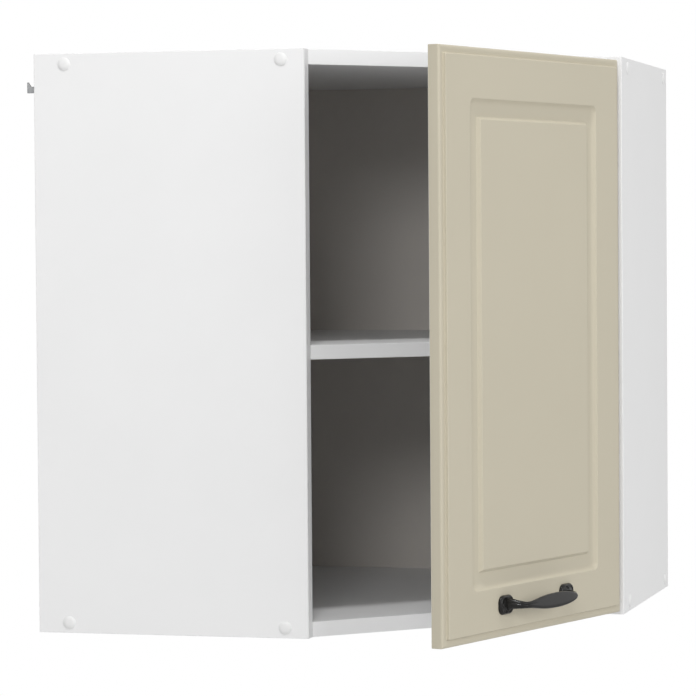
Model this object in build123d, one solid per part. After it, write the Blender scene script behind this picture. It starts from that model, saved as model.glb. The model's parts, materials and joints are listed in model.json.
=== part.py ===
"""Corner wall cabinet with a diagonal framed door, a shelf and a cast bow handle.

Millimetres, +Z up. The origin is the bottom of the edge where the two walls of the room meet.
The left side panel stands against the wall plane x = 0, the right one against the plane y = 0,
and the door closes the 45 degree opening between them. The door is drawn part open.
"""

from build123d import *
import math
import os

# Carcass
cabinet_width = 580.0  # along each wall
cabinet_height = 614.0
side_depth = 298.0  # side panels, measured out from the wall
board = 16.0  # side, top and bottom panels
back_thickness = 3.0
rebate_width = 8.0  # step in the side panels that takes the back panels

# Shelf
shelf_thickness = 15.0
shelf_top = 305.5
shelf_setback = 1.5  # behind the diagonal front edges
shelf_side_gap = 0.5
shelf_pin_radius = 2.5
shelf_pin_reach = 9.0  # into the panel, and out of it again
shelf_pin_collar = 1.0
shelf_pin_collar_radius = 5.0
shelf_pin_inset = 45.0  # from the front and rear edges of a side panel

# Panel screws and their caps
screw_head_radius = 5.0
screw_head_length = 3.0
screw_shank_radius = 3.5
screw_core_radius = 2.5
screw_length = 50.0
screw_edge_distance = 11.0  # from the top and bottom edges of the side panels
screw_sink = 0.2  # head below the panel's face
left_screw_rear_inset = 34.0
left_screw_front_inset = 25.5
right_screw_rear_inset = 21.0
right_screw_front_inset = 38.0
cap_radius = 7.0
cap_height = 1.8
cap_rim_height = 0.5
cap_dome_steps = 6
cap_stub_radius = 1.9
cap_stub_length = 2.0

# Nails through the back panels
nail_head_radius = 2.2
nail_head_length = 1.2
nail_radius = 0.9
nail_length = 20.0
nail_spacing = 140.0
nail_end_inset = 40.0
side_nail_inset = 120.0  # along the side panels, from the cabinet's ends

# Wall hangers
hanger_length = 58.0
hanger_width = 18.0
hanger_height = 40.0
hanger_rear_gap = 1.0  # to the back panel
hanger_top_gap = 1.0  # to the top panel
hook_thickness = 2.5
hook_arm_height = 7.0
hook_drop = 22.8  # hook's underside below the housing's top
hook_reach = 16.5  # behind the wall plane
hook_tail = 40.0  # in front of the wall plane
hook_tooth_height = 4.6
hook_tooth_root = 4.5
hook_tooth_tip = 1.5
hook_draw = 12.0  # travel when the hook is drawn in
hook_clearance = 0.1
hook_notch_margin = 4.0
hanger_corner_radius = 2.0
hanger_screw_radius = 2.0
hanger_screw_head_radius = 4.0
hanger_screw_head_height = 2.0
hanger_screw_depth = 12.0
hanger_screw_front_inset = 20.0
hanger_screw_rear_inset = 10.0
hanger_screw_rise = 7.0  # above the housing's bottom
adjuster_radius = 3.0
adjuster_length = 8.0
adjuster_inset = 6.0  # from the hook's underside and from the housing's top

# Door
door_thickness = 16.0
door_back_gap = 2.0  # between the closed door and the diagonal edges
door_side_gap = 1.6  # along the diagonal, at each side of the closed door
door_end_gap = 4.0  # above and below the door
door_open_angle = 27.1
ledge_width = 8.3
ledge_depth = 2.7
door_edge_radius = 2.2
plateau_edge_radius = 0.8
stile_width = 55.0
rail_width = 51.6
groove_depth = 4.0
groove_width = 22.0
cove_width = 6.5  # sloping outer wall of the groove
bevel_width = 3.4  # sloping edge of the raised field
groove_corner_radius = 8.0
bumper_radius = 4.5
bumper_thickness = 1.7
bumper_inset = 18.0  # from the free edge
bumper_end_inset = 6.0  # from the door's ends

# Hinges, in the closed door's frame: x from the hinge-side edge, y outwards
hinge_height_inset = 95.0  # hinge centre from the door's ends
cup_radius = 17.5
cup_depth = 12.5
cup_wall = 0.8
cup_edge_distance = 21.0  # cup centre from the door's edge
cup_slot_half_width = 5.9
cup_ear_reach = 31.0
cup_ear_half_width = 8.5
cup_ear_thickness = 1.2
cup_screw_offset = 24.0
small_screw_radius = 1.75
small_screw_head_radius = 3.4
small_screw_head_height = 1.4
cup_screw_length = 10.0
arm_rear_pivot = (43.8, -3.2)
arm_front_pivot = (24.8, 6.8)
cup_upper_pivot = (10.1, 1.4)
cup_lower_pivot = (9.0, 4.6)
long_link_ratio = -0.461  # turn of the long links for each degree of the door
short_link_ratio = -0.823
pin_radius = 0.9
pin_clearance = 0.05
open_pin_clearance = 0.35  # where the linkage is left open
eye_radius = 1.95
long_link_half_width = 1.5
short_link_half_width = 1.2
short_link_bow = 4.3
short_link_half_height = 1.9
layer_gap = 0.2
long_link_gap = 0.3  # to the arm's cheeks
cheek_thickness = 1.5
long_link_thickness = 1.5
arm_elbow = (36.0, -9.0)
arm_neck_half_width = 2.0
arm_body_half_width = 5.0
arm_socket_half_height = 9.0
arm_socket_length = 38.0
arm_socket_front = 14.0  # behind the right panel's front edge
arm_socket_wall = 1.5
plate_setback = 37.0  # plate screws behind the panel's front edge
plate_screw_pitch = 32.0
plate_thickness = 2.0
plate_wing_length = 48.0
plate_wing_width = 14.0
plate_block_height = 9.0
plate_block_length = 34.0
plate_screw_length = 12.0
arm_clip_gap = 0.2
arm_screw_half_pitch = 8.0
plate_block_setback = 3.0  # block's rear end, shorter than its front end

# Handle, lying along the door's foot
handle_spacing = 128.0
handle_height = 33.5  # above the door's bottom edge
handle_offset = 5.0  # from the door's middle towards its free edge
boss_half_width = 13.5
boss_half_height = 10.0
boss_corner = 6.0
boss_thickness = 4.5
boss_bevel = 2.0
bead_radius = 2.0
bead_sink = 0.5  # bead's centre below the boss's face
bead_reach = (9.0, 6.2)  # along the door and up it
grip_projection = 26.0
grip_thickness = 4.0
grip_edge_bevel = 0.8
leaf_tip = 16.5  # along the door from the leaf's foot
leaf_widest = 62.5
leaf_half_height = 7.9
leaf_shoulder = (97.0, 5.6)  # from the leaf's foot, and half its height there
neck_lean = 8.0  # the neck's head from its foot
neck_half_height = 3.2
neck_foot_half_height = 6.3
leaf_post_lean = 25.0
leaf_post_half_height = 3.0
post_foot_width = 8.0
post_head_width = 6.0
post_rise = 6.0  # out of the boss before the post leans
post_rise_share = 0.06  # of the lean, within that rise
handle_screw_radius = 2.0
handle_screw_head_radius = 4.0
handle_screw_head_height = 2.4
handle_screw_grip = 8.0

# Cutting tools run past the face that they break through
overrun = 1.0

# Derived sizes
hook_arm_bottom = cabinet_height - board - hanger_top_gap - hook_drop
root_half = math.sqrt(0.5)
inner_edge = cabinet_width - board
door_opening = (inner_edge - side_depth) / root_half
door_width = door_opening + 2 * door_back_gap - 2 * door_side_gap
door_height = cabinet_height - 2 * door_end_gap
shelf_bottom = shelf_top - shelf_thickness
lower_hinge_z = hinge_height_inset
upper_hinge_z = door_height - hinge_height_inset
cheek_inner = short_link_half_height + layer_gap
cheek_outer = cheek_inner + cheek_thickness
long_link_inner = cheek_outer + long_link_gap
long_link_outer = long_link_inner + long_link_thickness

# Closed door: x from the hinge edge to the free edge, y outwards, z from the door's bottom
panel_corner = Vector(inner_edge, -side_depth, 0)
along = Vector(root_half, root_half, 0)
outward = Vector(root_half, -root_half, 0)
door_origin = (
    panel_corner + along * (door_back_gap - door_side_gap) + outward * door_back_gap
)
door_frame = Plane(
    origin=door_origin + Vector(0, 0, door_end_gap), x_dir=along * -1, z_dir=(0, 0, 1)
).location

# Hinge plates: x back along the right panel, y off its inner face, in the closed door's frame
panel_in_door = Location(
    (door_back_gap - door_side_gap, -door_back_gap, 0), (0, 0, -135)
)

# The carcass is symmetric about the vertical plane through the room corner and the door
mirror_plane = Plane(origin=(0, 0, 0), z_dir=(1, 1, 0))


def flip(shape):
    """Left-hand piece to its right-hand twin."""
    return mirror(shape, about=mirror_plane)


def block(x_low, x_high, y_low, y_high, z_low, z_high):
    """Box between two corners."""
    size = (x_high - x_low, y_high - y_low, z_high - z_low)
    middle = ((x_low + x_high) / 2, (y_low + y_high) / 2, (z_low + z_high) / 2)
    return Pos(*middle) * Box(*size)


def prism(sketch, z_low, z_high):
    """Upright prism on a sketch drawn in plan."""
    return extrude(Pos(0, 0, z_low) * sketch, amount=z_high - z_low)


def disc(centre, radius):
    """Circle in plan."""
    return Pos(centre[0], centre[1], 0) * Circle(radius)


def bar(start, end, half_width):
    """Round-ended bar in plan."""
    run = math.hypot(end[0] - start[0], end[1] - start[1])
    turn = math.degrees(math.atan2(end[1] - start[1], end[0] - start[0]))
    middle = ((start[0] + end[0]) / 2, (start[1] + end[1]) / 2, 0)
    return Location(middle, (0, 0, turn)) * SlotCenterToCenter(run, 2 * half_width)


def turned(points):
    """Solid of revolution about Z from an outline of (radius, height) points."""
    outline = Polyline(*[(radius, 0, height) for radius, height in points], close=True)
    return revolve(make_face(outline), axis=Axis.Z)


def both_sides(shape):
    """A piece and its mirror image above and below the plane z = 0."""
    return [shape, mirror(shape, about=Plane.XY)]


def spaced(low, high, pitch):
    """Even positions from low to high, at most a pitch apart."""
    steps = max(1, math.ceil((high - low) / pitch))
    return [low + (high - low) * step / steps for step in range(steps + 1)]


# Panel screws


def panel_screw():
    """Screw along -Z with its head's face at z = 0."""
    shank_end = board - screw_sink
    tip = screw_length - screw_core_radius
    return turned(
        [
            (0, 0),
            (screw_head_radius, 0),
            (screw_shank_radius, -screw_head_length),
            (screw_shank_radius, -shank_end),
            (screw_core_radius, -shank_end),
            (screw_core_radius, -tip),
            (0, -screw_length),
        ]
    )


def screw_cap():
    """Low domed cap on the panel's face z = 0, with a stub down into the screw's socket."""
    dome_height = cap_height - cap_rim_height
    turns = [math.pi / 2 * step / cap_dome_steps for step in range(cap_dome_steps)]
    dome = [
        (cap_radius * math.cos(turn), cap_rim_height + dome_height * math.sin(turn))
        for turn in turns
    ]
    stub_depth = screw_sink + cap_stub_length
    stub = [(0, -stub_depth), (cap_stub_radius, -stub_depth), (cap_stub_radius, 0)]
    return turned(stub + [(cap_radius, 0)] + dome + [(0, cap_height)])


def left_screw_places():
    """Places on the left panel's outer face, with Z pointing out of the cabinet."""
    depths = (left_screw_rear_inset, side_depth - left_screw_front_inset)
    return screw_places(depths)


def right_screw_places():
    """Places for the right panel's screws, before they are flipped to it."""
    depths = (right_screw_rear_inset, side_depth - right_screw_front_inset)
    return screw_places(depths)


def screw_places(depths):
    """A place on the left panel for each depth, at the top and bottom panels."""
    heights = (screw_edge_distance, cabinet_height - screw_edge_distance)
    return [
        Location((depth, -cabinet_width, height), (90, 0, 0))
        for depth in depths
        for height in heights
    ]


def left_screw_bodies():
    return [place * Pos(0, 0, -screw_sink) * panel_screw() for place in left_screw_places()]


def right_screw_bodies():
    screws = [place * Pos(0, 0, -screw_sink) * panel_screw() for place in right_screw_places()]
    return [flip(screw) for screw in screws]


def with_sockets(screws, places, flipped):
    """Screws with the round sockets that take the stubs of their caps."""
    depth = screw_sink + cap_stub_length
    socket = Pos(0, 0, -depth / 2) * Cylinder(cap_stub_radius, depth)
    sockets = [place * socket for place in places]
    if flipped:
        sockets = [flip(one) for one in sockets]
    return [screw - hole for screw, hole in zip(screws, sockets)]


def screw_wells(places):
    """Space above the sunk heads."""
    return [
        place * Pos(0, 0, -screw_sink / 2) * Cylinder(screw_head_radius, screw_sink)
        for place in places
    ]


# Nails through the back panels


def nail():
    """Nail along +X from its head's face at x = 0."""
    shaft = turned(
        [
            (0, 0),
            (nail_head_radius, 0),
            (nail_radius, nail_head_length),
            (nail_radius, nail_length - 2 * nail_radius),
            (0, nail_length),
        ]
    )
    return Rot(0, 90, 0) * shaft


def left_nail_places():
    """Nail places (y, z) on the left back panel."""
    rows = spaced(-inner_edge + nail_end_inset, -nail_end_inset, nail_spacing)
    levels = (board / 2, shelf_top - shelf_thickness / 2, cabinet_height - board / 2)
    places = [(y, level) for level in levels for y in rows]
    side_line = -inner_edge - rebate_width / 2
    heights = spaced(side_nail_inset, cabinet_height - side_nail_inset, nail_spacing)
    return places + [(side_line, height) for height in heights]


def left_nails():
    return [Pos(0, y, z) * nail() for y, z in left_nail_places()]


# Shelf pins


def shelf_pin():
    """Pin along +Y, with a collar on the left panel's inner face at y = 0."""
    reach = 2 * shelf_pin_reach
    shaft = Rot(90, 0, 0) * Cylinder(shelf_pin_radius, reach)
    collar = Pos(0, shelf_pin_collar / 2, 0) * Rot(90, 0, 0) * Cylinder(
        shelf_pin_collar_radius, shelf_pin_collar
    )
    # the collar is cut away above, where the shelf lies on the pin
    top = block(
        -shelf_pin_collar_radius,
        shelf_pin_collar_radius,
        0,
        shelf_pin_collar,
        shelf_pin_radius,
        shelf_pin_collar_radius,
    )
    return shaft + (collar - top)


def left_shelf_pins():
    height = shelf_bottom - shelf_pin_radius
    depths = (shelf_pin_inset, side_depth - shelf_pin_inset)
    return [Pos(depth, -inner_edge, height) * shelf_pin() for depth in depths]


# Carcass panels


def side_blank():
    """Left side panel with its rebate, before any holes."""
    panel = block(0, side_depth, -cabinet_width, -inner_edge, 0, cabinet_height)
    rebate = block(
        0,
        back_thickness,
        -inner_edge - rebate_width,
        -inner_edge,
        0,
        cabinet_height,
    )
    return panel - rebate


def side_panel(screws, wells, nails, pins, fixings):
    """Left side panel bored for its fastenings."""
    return side_blank() - screws - wells - nails - pins - fixings


def deck(thickness, z_low, side_gap, setback):
    """Five-sided board between the side panels, with the diagonal front edge."""
    rear = back_thickness
    side = inner_edge - side_gap
    shift = setback / root_half
    front = side_depth - side_gap - shift
    outline = Polyline(
        (rear, -side),
        (front, -side),
        (side, -front),
        (side, -rear),
        (rear, -rear),
        close=True,
    )
    return prism(make_face(outline), z_low, z_low + thickness)


def back_blank(corner_end):
    """Left back panel from its rebate to the room corner."""
    return block(
        0, back_thickness, -inner_edge - rebate_width, -corner_end, 0, cabinet_height
    )


def hook_notch():
    """Cut-out in the left back panel that the hanger's hook passes through."""
    middle = -inner_edge + hanger_width / 2
    return block(
        -overrun,
        back_thickness + overrun,
        middle - hook_thickness / 2 - hook_notch_margin,
        middle + hook_thickness / 2 + hook_notch_margin,
        hook_arm_bottom - hook_notch_margin,
        hook_arm_bottom + hook_arm_height + hook_tooth_height + hook_notch_margin,
    )


# Wall hangers on the left panel, flipped for the right


def hanger_span():
    """Low and high corners of the hanger's housing."""
    x_low = back_thickness + hanger_rear_gap
    z_high = cabinet_height - board - hanger_top_gap
    return (x_low, x_low + hanger_length, z_high - hanger_height, z_high)


def hanger_housing():
    """Housing with a slot for the hook's arm and holes for its screws."""
    x_low, x_high, z_low, z_high = hanger_span()
    middle = -inner_edge + hanger_width / 2
    body = block(x_low, x_high, -inner_edge, -inner_edge + hanger_width, z_low, z_high)
    body = fillet(body.edges().filter_by(Axis.Z).sort_by(Axis.X)[-2:], hanger_corner_radius)
    slot = block(
        x_low - overrun,
        hook_tail + hook_draw + hook_clearance,
        middle - hook_thickness / 2 - hook_clearance,
        middle + hook_thickness / 2 + hook_clearance,
        hook_arm_bottom - hook_clearance,
        hook_arm_bottom + hook_arm_height + hook_tooth_height + hook_clearance,
    )
    return body - slot - hanger_screws() - adjusters()


def hook():
    """Flat steel hook with an upturned tooth, in the plane of the side panel."""
    middle = -inner_edge + hanger_width / 2
    low = hook_arm_bottom
    high = hook_arm_bottom + hook_arm_height
    outline = Polyline(
        (-hook_reach, low),
        (hook_tail, low),
        (hook_tail, high),
        (-hook_reach + hook_tooth_root, high),
        (-hook_reach + hook_tooth_tip, high + hook_tooth_height),
        (-hook_reach, high + hook_tooth_height),
        close=True,
    )
    face = Plane.XZ * make_face(outline)
    return extrude(Pos(0, middle, 0) * face, amount=hook_thickness / 2, both=True)


def hanger_screws():
    """Two screws through the housing into the side panel."""
    x_low, x_high, z_low, z_high = hanger_span()
    height = z_low + hanger_screw_rise
    seat = -inner_edge + hanger_width
    return [
        Location((x, seat, height), (-90, 0, 0)) * hanger_screw()
        for x in (x_low + hanger_screw_rear_inset, x_high - hanger_screw_front_inset)
    ]


def hanger_screw():
    """Screw along -Z with its cheese head sunk below z = 0."""
    head = Pos(0, 0, -hanger_screw_head_height / 2) * Cylinder(
        hanger_screw_head_radius, hanger_screw_head_height
    )
    length = hanger_width + hanger_screw_depth
    shaft = Pos(0, 0, -length / 2) * Cylinder(hanger_screw_radius, length)
    return head + shaft


def adjusters():
    """Two adjusting screws in the housing's front end, height above depth."""
    x_low, x_high, z_low, z_high = hanger_span()
    middle = -inner_edge + hanger_width / 2
    heights = (hook_arm_bottom - adjuster_inset, z_high - adjuster_inset)
    return [
        Pos(x_high - adjuster_length / 2, middle, height)
        * Rot(0, 90, 0)
        * Cylinder(adjuster_radius, adjuster_length)
        for height in heights
    ]


# Door, in its own frame


def rounded_frame(inset_x, inset_z, radius):
    """Rounded rectangle on the door's face, inset from its edges, drawn in XZ."""
    shape = RectangleRounded(door_width - 2 * inset_x, door_height - 2 * inset_z, radius)
    return Location((door_width / 2, 0, door_height / 2), (90, 0, 0)) * shape


def sharp_frame(inset_x, inset_z):
    """Plain rectangle on the door's face, inset from its edges, drawn in XZ."""
    shape = Rectangle(door_width - 2 * inset_x, door_height - 2 * inset_z)
    return Location((door_width / 2, 0, door_height / 2), (90, 0, 0)) * shape


def raised(sketch, base, height, taper=0.0):
    """Prism outwards from the plane y = base."""
    return extrude(Pos(0, base, 0) * sketch, amount=height, dir=(0, 1, 0), taper=taper)


def door_board():
    """Framed door: sunk edge, raised frame, sloping groove and bevelled field."""
    skirt_top = door_thickness - ledge_depth
    skirt = block(0, door_width, 0, skirt_top, 0, door_height)
    front_edges = skirt.faces().sort_by(Axis.Y)[-1].edges()
    skirt = fillet(front_edges, door_edge_radius)
    plateau = raised(sharp_frame(ledge_width, ledge_width), skirt_top, ledge_depth)
    plateau = fillet(plateau.faces().sort_by(Axis.Y)[-1].edges(), plateau_edge_radius)
    floor = door_thickness - groove_depth
    ring = raised(
        rounded_frame(
            stile_width + cove_width,
            rail_width + cove_width,
            groove_corner_radius - cove_width,
        ),
        floor,
        groove_depth,
        taper=-math.degrees(math.atan2(cove_width, groove_depth)),
    )
    foot = groove_width - bevel_width
    field = raised(
        sharp_frame(stile_width + foot, rail_width + foot),
        floor,
        groove_depth,
        taper=math.degrees(math.atan2(bevel_width, groove_depth)),
    )
    return skirt + plateau - ring + field


def bumpers():
    """Two soft stops behind the free edge, where the door meets the top and bottom panels."""
    x = door_width - bumper_inset
    bumper = Rot(90, 0, 0) * Cylinder(bumper_radius, bumper_thickness)
    return [
        Pos(x, -bumper_thickness / 2, z) * bumper
        for z in (bumper_end_inset, door_height - bumper_end_inset)
    ]


# Hinges, in the closed door's frame with z = 0 at the hinge's middle


def cup_bore():
    """Blind bore in the back of the door."""
    return facing_cylinder(cup_radius, 0, cup_depth)


def facing_cylinder(radius, low, high):
    """Cylinder along the door's depth at the cup's centre."""
    return (
        Pos(cup_edge_distance, (low + high) / 2, 0)
        * Rot(90, 0, 0)
        * Cylinder(radius, high - low)
    )


def hinge_cup():
    """Die-cast cup with two fixing ears and a slot that the links fold into."""
    cup = facing_cylinder(cup_radius, 0, cup_depth)
    reach = cup_edge_distance + 2 * cup_radius
    slot = block(
        0,
        reach,
        -overrun,
        cup_depth - cup_wall,
        -cup_slot_half_width,
        cup_slot_half_width,
    )
    inner = facing_cylinder(cup_radius - cup_wall, -overrun, cup_depth - cup_wall)
    ears = block(
        cup_edge_distance - cup_ear_half_width,
        cup_edge_distance + cup_ear_half_width,
        -cup_ear_thickness,
        0,
        -cup_ear_reach,
        cup_ear_reach,
    )
    window = block(
        0,
        reach,
        -cup_ear_thickness - overrun,
        0,
        -cup_slot_half_width,
        cup_slot_half_width,
    )
    return (cup + ears - (slot & inner) - window) - cup_pins() - cup_screws()


def cup_pins():
    """Pins held in the cup: one right across, and two stubs that leave room for the arm."""
    hold = cup_slot_half_width + cheek_thickness
    across = prism(disc(cup_lower_pivot, pin_radius), -hold, hold)
    stub = prism(disc(cup_upper_pivot, pin_radius), long_link_inner, hold)
    return [across] + both_sides(stub)


def small_screw(length):
    """Pan-head screw along -Z from the face z = 0, with its head above."""
    head = Pos(0, 0, small_screw_head_height / 2) * Cylinder(
        small_screw_head_radius, small_screw_head_height
    )
    shaft = Pos(0, 0, -length / 2) * Cylinder(small_screw_radius, length)
    return head + shaft


def cup_screws():
    """Two screws through the ears into the door."""
    return [
        Location((cup_edge_distance, -cup_ear_thickness, z), (90, 0, 0))
        * small_screw(cup_screw_length)
        for z in (-cup_screw_offset, cup_screw_offset)
    ]


def long_links():
    """Pair of straight links from the arm's rear pin to the cup's stub pins."""
    plate = bar(cup_upper_pivot, arm_rear_pivot, long_link_half_width)
    for pivot in (cup_upper_pivot, arm_rear_pivot):
        plate += disc(pivot, eye_radius)
    for pivot in (cup_upper_pivot, arm_rear_pivot):
        plate -= disc(pivot, pin_radius + pin_clearance)
    return both_sides(prism(plate, long_link_inner, long_link_outer))


def short_link():
    """Bowed link from the arm's front pin to the pin across the cup."""
    start = Vector(*cup_lower_pivot)
    end = Vector(*arm_front_pivot)
    chord = end - start
    side = Vector(-chord.Y, chord.X) / chord.length
    crown = (start + end) / 2 + side * short_link_bow
    plate = SlotArc(ThreePointArc(start, crown, end), 2 * short_link_half_width)
    for pivot in (cup_lower_pivot, arm_front_pivot):
        plate += disc(pivot, eye_radius)
    plate -= disc(arm_front_pivot, pin_radius + pin_clearance)
    plate -= disc(cup_lower_pivot, pin_radius + open_pin_clearance)
    return prism(plate, -short_link_half_height, short_link_half_height)


def to_panel(point):
    """A point of the closed door's frame in the frame of the hinge plate."""
    there = panel_in_door.inverse() * Pos(point[0], point[1], 0)
    return (there.position.X, there.position.Y)


def arm_pins():
    """The arm's front pin, and its rear pin that also carries the long links."""
    front = prism(disc(arm_front_pivot, pin_radius), -cheek_outer, cheek_outer)
    rear = prism(disc(arm_rear_pivot, pin_radius), -long_link_outer, long_link_outer)
    return [front, rear]


def hinge_arm():
    """Cranked arm: a socket over the plate, and a narrow nose that holds both pins."""
    elbow = to_panel(arm_elbow)
    socket_top = plate_block_height + arm_clip_gap + arm_socket_wall
    root = (arm_socket_front + arm_body_half_width, socket_top - arm_body_half_width / 2)
    cheek = bar(to_panel(arm_front_pivot), elbow, arm_neck_half_width)
    cheek += bar(to_panel(arm_rear_pivot), elbow, arm_neck_half_width)
    cheek += bar(elbow, root, arm_body_half_width / 2)
    spine = bar(elbow, root, arm_body_half_width / 2)
    nose = prism(cheek, -cheek_outer, cheek_outer) - prism(cheek, -cheek_inner, cheek_inner)
    nose += prism(spine, -cheek_outer, cheek_outer)
    socket = block(
        arm_socket_front,
        arm_socket_front + arm_socket_length,
        plate_thickness + arm_clip_gap,
        socket_top,
        -arm_socket_half_height,
        arm_socket_half_height,
    )
    hollow = block(
        arm_socket_front + arm_socket_wall,
        arm_socket_front + arm_socket_length + overrun,
        0,
        plate_block_height + arm_clip_gap,
        -arm_socket_half_height + arm_socket_wall,
        arm_socket_half_height - arm_socket_wall,
    )
    arm = panel_in_door * (nose + (socket - hollow) - hollow)
    return arm - arm_pins() - arm_screws()


def arm_screw_places():
    middle = plate_block_height + arm_clip_gap + arm_socket_wall
    stations = (plate_setback - arm_screw_half_pitch, plate_setback + arm_screw_half_pitch)
    return [panel_in_door * Location((x, middle, 0), (-90, 0, 0)) for x in stations]


def arm_screws():
    """Fixing and adjusting screws through the socket into the plate's block."""
    length = plate_block_height + arm_clip_gap
    return [place * small_screw(length) for place in arm_screw_places()]


def mounting_plate():
    """Winged plate with a raised block under the arm's socket."""
    wings = block(
        plate_setback - plate_wing_width / 2,
        plate_setback + plate_wing_width / 2,
        0,
        plate_thickness,
        -plate_wing_length / 2,
        plate_wing_length / 2,
    )
    half_block = arm_socket_half_height - arm_socket_wall - arm_clip_gap
    raised_block = block(
        plate_setback - plate_block_length / 2,
        plate_setback + plate_block_length / 2 - plate_block_setback,
        0,
        plate_block_height,
        -half_block,
        half_block,
    )
    plate = panel_in_door * (wings + raised_block)
    return plate - plate_screws() - arm_screws()


def plate_screws():
    """Two screws through the plate's wings into the right panel."""
    return [
        panel_in_door
        * Location((plate_setback, plate_thickness, z), (-90, 0, 0))
        * small_screw(plate_screw_length)
        for z in (-plate_screw_pitch / 2, plate_screw_pitch / 2)
    ]


# Handle, in the door's frame, laid out along x from the leaf's foot to the neck's foot


def handle_feet():
    """Places of the two feet along the door: the leaf's foot and the neck's foot."""
    middle = door_width / 2 + handle_offset
    return middle - handle_spacing / 2, middle + handle_spacing / 2


def boss(x):
    """Eight-sided foot with a bevelled face and a bead towards each side."""
    base = chamfer(Rectangle(2 * boss_half_width, 2 * boss_half_height).vertices(), boss_corner)
    slope = math.degrees(math.atan2(boss_bevel, boss_thickness / 2))
    foot = extrude(base, amount=boss_thickness / 2)
    foot += extrude(Pos(0, 0, boss_thickness / 2) * base, amount=boss_thickness / 2, taper=slope)
    along, up = bead_reach
    for x_side, y_side in ((along, 0), (-along, 0), (0, up), (0, -up)):
        foot += Pos(x_side, y_side, boss_thickness - bead_sink) * Sphere(bead_radius)
    return Location((x, door_thickness, handle_height), (-90, 0, 0)) * foot


def grip_outline():
    """Front view of the grip: a leaf with an elliptic tip that narrows to the neck."""
    leaf_foot, neck_foot = handle_feet()
    tip = leaf_foot + leaf_tip
    widest = leaf_foot + leaf_widest
    waist = neck_foot - neck_lean
    end = waist + post_head_width / 2
    shoulder = (leaf_foot + leaf_shoulder[0], leaf_shoulder[1])
    crown = (widest, leaf_half_height)
    upper = [
        EllipticalCenterArc((widest, 0), widest - tip, leaf_half_height, 90, arc_size=90),
        Spline(crown, shoulder, (waist, neck_half_height), tangents=[(1, 0), (1, 0)]),
    ]
    rest = Polyline((waist, neck_half_height), (end, neck_half_height), (end, 0), (tip, 0))
    half = make_face(upper + rest.edges())
    return half + mirror(half, about=Plane.XZ)


def grip():
    """Flat grip with its outer edges bevelled."""
    face = Location((0, 0, handle_height), (90, 0, 0)) * grip_outline()
    base = door_thickness + grip_projection - grip_thickness
    plate = raised(face, base, grip_thickness)
    rim = plate.faces().sort_by(Axis.Y)[-1].edges()
    return chamfer(rim, grip_edge_bevel)


def post(foot, lean, foot_half_height, head_half_height):
    """Post that rises from inside a boss, then leans over and tapers to inside the grip."""
    low = door_thickness + boss_thickness / 2
    knee = low + post_rise
    high = door_thickness + grip_projection - grip_thickness / 2
    knee_half_height = (foot_half_height + head_half_height) / 2
    stations = [
        (foot, low, post_foot_width, foot_half_height),
        (foot + lean * post_rise_share, knee, post_foot_width, knee_half_height),
        (foot + lean, high, post_head_width, head_half_height),
    ]
    sections = [
        Location((x, y, handle_height), (90, 0, 0)) * Rectangle(width, 2 * half_height)
        for x, y, width, half_height in stations
    ]
    return loft(sections)


def handle():
    """Cast bow handle: a leaf-shaped grip on two posts, each on its foot."""
    leaf_foot, neck_foot = handle_feet()
    shape = grip()
    shape += post(leaf_foot, leaf_post_lean, leaf_post_half_height, leaf_post_half_height)
    shape += post(neck_foot, -neck_lean, neck_foot_half_height, neck_half_height)
    for x in (leaf_foot, neck_foot):
        shape += boss(x)
    return shape - handle_screws()


def handle_screws():
    """Two machine screws through the door into the feet."""
    length = door_thickness + handle_screw_grip
    shaft = Pos(0, 0, -length / 2) * Cylinder(handle_screw_radius, length)
    head = Pos(0, 0, handle_screw_head_height / 2) * Cylinder(
        handle_screw_head_radius, handle_screw_head_height
    )
    return [Location((x, 0, handle_height), (90, 0, 0)) * (shaft + head) for x in handle_feet()]


# Poses of the linkage in the closed door's frame, for a door opened by some angle


def turn_about(pivot, angle):
    """Turn about an upright axis through a point of the plan."""
    there = Pos(pivot[0], pivot[1], 0)
    return there * Rot(0, 0, angle) * there.inverse()


def long_link_pose(angle):
    return turn_about(arm_rear_pivot, long_link_ratio * angle)


def short_link_pose(angle):
    return turn_about(arm_front_pivot, short_link_ratio * angle)


def door_pose(angle):
    """The door turns by the angle while its upper cup pivot rides on the long links."""
    moved = long_link_pose(angle) * Pos(cup_upper_pivot[0], cup_upper_pivot[1], 0)
    back = Pos(-cup_upper_pivot[0], -cup_upper_pivot[1], 0)
    there = Pos(moved.position.X, moved.position.Y, 0)
    return there * Rot(0, 0, angle) * back


def placed(pose, shapes):
    """Shapes of the closed door's frame, posed and set in the cabinet."""
    return [door_frame * pose * shape for shape in as_list(shapes)]


def at_height(shapes, height):
    return [Pos(0, 0, height) * shape for shape in as_list(shapes)]


def as_list(shapes):
    return list(shapes) if isinstance(shapes, (list, tuple)) else [shapes]


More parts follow.
